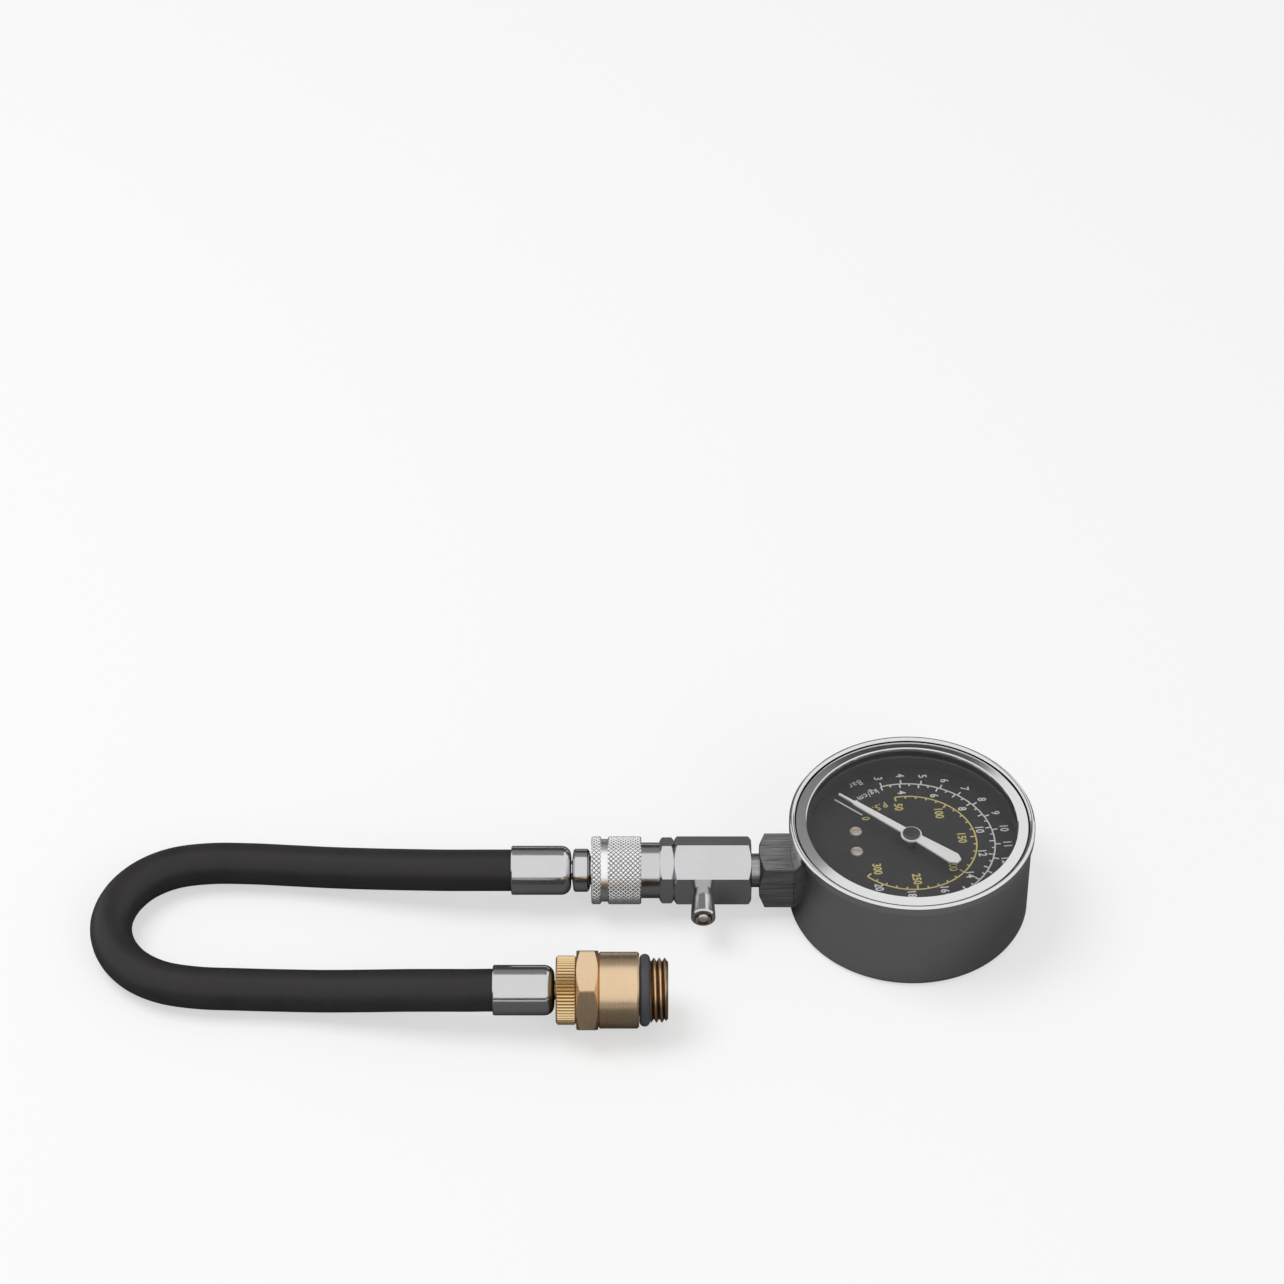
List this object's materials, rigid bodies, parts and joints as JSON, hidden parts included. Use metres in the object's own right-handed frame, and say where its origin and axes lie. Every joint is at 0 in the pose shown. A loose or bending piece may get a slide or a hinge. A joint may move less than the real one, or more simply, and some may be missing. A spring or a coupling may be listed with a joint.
{
  "type": "compression tester gauge",
  "caption": "Round dial pressure gauge with a geared movement, push-button relief tee, ball-lock quick coupler and a rubber hose ending in a threaded brass adapter.",
  "frame": {"origin": "centre of the gauge's back, on the surface that it lies on", "axes": "+Z out of the dial's face, -X along the stem towards the hose, so +X is the top of the dial and the relief button points to -Y"},
  "size_m": [0.2693, 0.0948, 0.0319],
  "materials": {
    "chrome": "polished",
    "stem_metal": "machined",
    "steel": "bright",
    "brass": "machined",
    "adapter_brass": "turned",
    "lens": "clear",
    "black_rubber": "matte",
    "o_ring_rubber": "matte",
    "black_plastic": "matte",
    "dial_black": "satin",
    "pointer_white": "satin",
    "cap_black": "gloss"
  },
  "bodies": {
    "gauge": {"gauge_case": "chrome", "bezel_ring": "chrome", "lens": "lens", "lens_gasket": "black_rubber", "spacer_ring": "black_plastic", "dial_plate": "dial_black", "dial_screws": "steel", "case_screws": "steel", "movement_lower_plate": "brass", "movement_upper_plate": "brass", "movement_pillars": "brass", "movement_screws": "steel", "hairspring": "brass", "pressure_tube": "brass", "tube_tip": "brass", "socket_stem": "stem_metal", "tee_body": "chrome", "relief_tube": "chrome", "relief_spring": "steel", "coupler_body": "chrome", "coupler_spring": "steel", "coupler_balls": "steel", "coupler_snap_ring": "steel", "coupler_seal": "black_rubber"},
    "sector": {"sector_gear": "brass", "sector_arbor": "steel"},
    "pointer": {"pinion_arbor": "brass", "pointer": "pointer_white", "pointer_cap": "cap_black"},
    "link": {"link": "brass", "link_rivet": "steel"},
    "relief_button": {"relief_pin": "steel", "relief_poppet": "brass", "relief_seal": "black_rubber"},
    "sleeve": {"coupler_sleeve": "chrome"},
    "hose_line": {"hose_plug": "chrome", "upper_ferrule": "chrome", "hose": "black_rubber", "lower_ferrule": "chrome", "hose_end_fitting": "brass", "m18_adapter": "adapter_brass", "adapter_o_ring": "o_ring_rubber", "check_core_body": "brass", "check_core_spring": "steel"},
    "check_pin": {"check_core_pin": "steel", "check_core_seal": "black_rubber"}
  },
  "joints": [
    {"name": "sector_turn", "type": "hinge", "parent": "gauge", "child": "sector", "pos_m": [0, -0.01215, 0], "axis": [0, 0, 1], "range_deg": [0, 34.12], "stiffness_Nm_per_rad": 0.002},
    {"name": "pointer_turn", "type": "hinge", "parent": "gauge", "child": "pointer", "pos_m": [0, 0, 0], "axis": [0, 0, 1], "range_deg": [-273, 0]},
    {"name": "link_turn", "type": "hinge", "parent": "sector", "child": "link", "pos_m": [-0.00205, -0.01884, 0], "axis": [0, 0, 1], "range_deg": [-34.12, 0]},
    {"name": "relief_press", "type": "slide", "parent": "gauge", "child": "relief_button", "axis": [0, 1, 0], "range_m": [0, 0.0015], "stiffness_N_per_m": 100, "deforming": ["relief_spring"]},
    {"name": "sleeve_slide", "type": "slide", "parent": "gauge", "child": "sleeve", "axis": [1, 0, 0], "range_m": [0, 0.0035], "stiffness_N_per_m": 500, "deforming": ["coupler_spring"]},
    {"name": "hose_swivel", "type": "hinge", "parent": "gauge", "child": "hose_line", "pos_m": [-0.08, 0, 0.0117], "axis": [1, 0, 0], "continuous": true},
    {"name": "check_press", "type": "slide", "parent": "hose_line", "child": "check_pin", "axis": [-1, 0, 0], "range_m": [0, 0.0012], "stiffness_N_per_m": 100, "deforming": ["check_core_spring"]}
  ],
  "couplings": [
    {"joint": "pointer_turn", "follows": "sector_turn", "ratio": -8},
    {"joint": "link_turn", "follows": "sector_turn", "ratio": -1}
  ]
}
